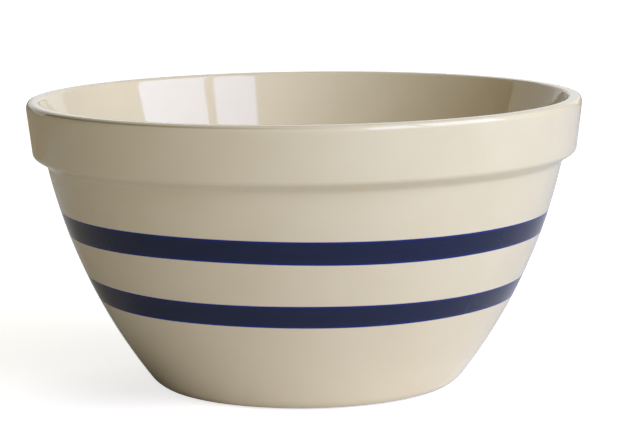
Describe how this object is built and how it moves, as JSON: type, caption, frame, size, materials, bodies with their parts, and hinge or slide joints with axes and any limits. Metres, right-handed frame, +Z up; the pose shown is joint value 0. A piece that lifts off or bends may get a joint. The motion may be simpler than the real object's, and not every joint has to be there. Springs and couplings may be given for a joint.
{
  "type": "stoneware mixing bowl",
  "caption": "Round stoneware mixing bowl with flared, bowed walls and a thick collar at the rim, glazed cream inside and out, with dark blue bands round the wall.",
  "frame": {"origin": "centre of the foot ring, on the surface that the bowl stands on", "axes": "+Z up along the axis that the bowl is turned about; +X to the right and +Y away, as pictured"},
  "size_m": [0.254, 0.254, 0.1314],
  "materials": {
    "stoneware_clay": "matte",
    "cream_glaze": "gloss",
    "cobalt_glaze": "gloss"
  },
  "bodies": {
    "root": {"stoneware_body": "stoneware_clay", "outer_glaze": "cream_glaze", "inner_glaze": "cream_glaze", "upper_band": "cobalt_glaze", "lower_band": "cobalt_glaze", "base_glaze": "cream_glaze"}
  },
  "joints": []
}
